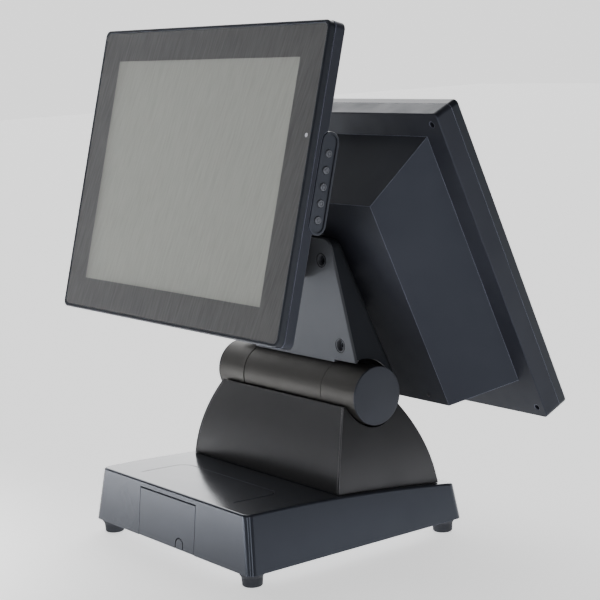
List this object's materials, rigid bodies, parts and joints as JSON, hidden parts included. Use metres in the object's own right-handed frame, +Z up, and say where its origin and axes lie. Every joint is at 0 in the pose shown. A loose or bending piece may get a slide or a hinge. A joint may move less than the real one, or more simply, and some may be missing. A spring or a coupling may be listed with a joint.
{
  "type": "pos touchscreen terminal",
  "caption": "Free-standing point-of-sale terminal: operator touch display and customer display on a tilting neck, over an arched pedestal and a low base with a front access door",
  "frame": {"origin": "on the table top, under the middle of the whole terminal's outline, close below the hinge barrel", "axes": "+X is the operator's right, +Y runs from the operator to the customer, +Z is up"},
  "size_m": [0.3801, 0.3768, 0.525],
  "materials": {
    "base_plastic": "fine-textured satin black",
    "pedestal_plastic": "fine-textured satin black",
    "cover_plastic": "fine-textured satin black",
    "neck_plastic": "fine-textured satin black",
    "strip_plastic": "satin black",
    "button_plastic": "satin dark grey, moulded ring",
    "cap_plastic": "satin black",
    "bezel_plastic": "semi-gloss blue-black",
    "inner_plastic": "plain black",
    "barrel_paint": "satin black powder coat",
    "neck_paint": "satin dark grey paint",
    "black_steel": "black oxide",
    "zinc_steel": "zinc plated",
    "bright_steel": "ground",
    "socket_metal": "tinned",
    "cast_aluminium": "as cast",
    "bush_bronze": "sintered bronze",
    "rubber": "moulded black rubber",
    "touch_glass": "printed border, fine anti-glare streaks",
    "clear_glass": "clear",
    "lcd_panel": "switched-off screen, semi-gloss",
    "light_lens": "frosted",
    "circuit_board": "green solder mask"
  },
  "bodies": {
    "base": {"base_housing": "base_plastic", "base_bottom_plate": "zinc_steel", "rubber_feet": "rubber", "base_screws": "zinc_steel", "port_bay": "inner_plastic", "bay_port_board": "circuit_board", "rear_port_panel": "zinc_steel", "rear_sockets": "socket_metal", "power_inlet": "inner_plastic", "io_board": "circuit_board", "power_supply": "cast_aluminium", "storage_drive": "cast_aluminium", "speaker": "inner_plastic", "pedestal_front_panel": "pedestal_plastic", "pedestal_rear_panel": "pedestal_plastic", "pedestal_cover_left": "pedestal_plastic", "pedestal_cover_right": "pedestal_plastic", "hinge_base_plate": "zinc_steel", "hinge_bracket_left": "barrel_paint", "hinge_bracket_right": "barrel_paint", "bracket_bolts": "zinc_steel", "barrel_end_caps": "cap_plastic", "hinge_shaft": "bright_steel", "shaft_collars": "bright_steel", "friction_washers": "bright_steel"},
    "access_door": {"access_door": "base_plastic", "door_hinge_pins": "bright_steel"},
    "power_button": {"power_button": "button_plastic"},
    "neck": {"neck_barrel": "barrel_paint", "neck_bushes": "bush_bronze", "neck_frame": "zinc_steel", "neck_front_plate": "neck_paint", "neck_cover": "neck_plastic", "neck_screws": "black_steel", "display_arm": "barrel_paint", "rear_hinge_pin": "bright_steel"},
    "operator_display": {"front_bezel": "bezel_plastic", "front_touch_glass": "touch_glass", "front_lcd_panel": "lcd_panel", "front_back_cover": "cover_plastic", "front_mount_bracket": "black_steel", "front_display_screws": "black_steel", "front_hinge_pin": "bright_steel", "front_mainboard": "circuit_board", "front_heat_sink": "cast_aluminium", "status_light": "light_lens", "button_strip": "strip_plastic", "button_board": "circuit_board"},
    "customer_display": {"rear_bezel": "bezel_plastic", "rear_glass": "clear_glass", "rear_lcd_panel": "lcd_panel", "rear_back_cover": "cover_plastic", "rear_mount_bracket": "black_steel", "rear_display_screws": "black_steel", "rear_driver_board": "circuit_board"},
    "strip_button_1": {"strip_button_1": "button_plastic"},
    "strip_button_2": {"strip_button_2": "button_plastic"},
    "strip_button_3": {"strip_button_3": "button_plastic"},
    "strip_button_4": {"strip_button_4": "button_plastic"},
    "strip_button_5": {"strip_button_5": "button_plastic"}
  },
  "joints": [
    {"name": "neck_tilt", "type": "hinge", "parent": "base", "child": "neck", "pos_m": [0, -0.0049, 0.1542], "axis": [1, 0, 0], "range_deg": [-15, 10]},
    {"name": "operator_display_tilt", "type": "hinge", "parent": "neck", "child": "operator_display", "pos_m": [0, -0.07927, 0.30778], "axis": [1, 0, 0], "range_deg": [-15, 14.8]},
    {"name": "customer_display_tilt", "type": "hinge", "parent": "neck", "child": "customer_display", "pos_m": [0, 0.01404, 0.262], "axis": [1, 0, 0], "range_deg": [-10, 5]},
    {"name": "access_door_hinge", "type": "hinge", "parent": "base", "child": "access_door", "pos_m": [0, -0.18103, 0.0613], "axis": [-1, 0, 0], "range_deg": [0, 85]},
    {"name": "power_button_press", "type": "slide", "parent": "base", "child": "power_button", "axis": [0, 1, 0], "range_m": [0, 0.002], "stiffness_N_per_m": 400},
    {"name": "strip_button_1_press", "type": "slide", "parent": "operator_display", "child": "strip_button_1", "axis": [-1, 0, 0], "range_m": [0, 0.0009], "stiffness_N_per_m": 400},
    {"name": "strip_button_2_press", "type": "slide", "parent": "operator_display", "child": "strip_button_2", "axis": [-1, 0, 0], "range_m": [0, 0.0009], "stiffness_N_per_m": 400},
    {"name": "strip_button_3_press", "type": "slide", "parent": "operator_display", "child": "strip_button_3", "axis": [-1, 0, 0], "range_m": [0, 0.0009], "stiffness_N_per_m": 400},
    {"name": "strip_button_4_press", "type": "slide", "parent": "operator_display", "child": "strip_button_4", "axis": [-1, 0, 0], "range_m": [0, 0.0009], "stiffness_N_per_m": 400},
    {"name": "strip_button_5_press", "type": "slide", "parent": "operator_display", "child": "strip_button_5", "axis": [-1, 0, 0], "range_m": [0, 0.0009], "stiffness_N_per_m": 400}
  ]
}
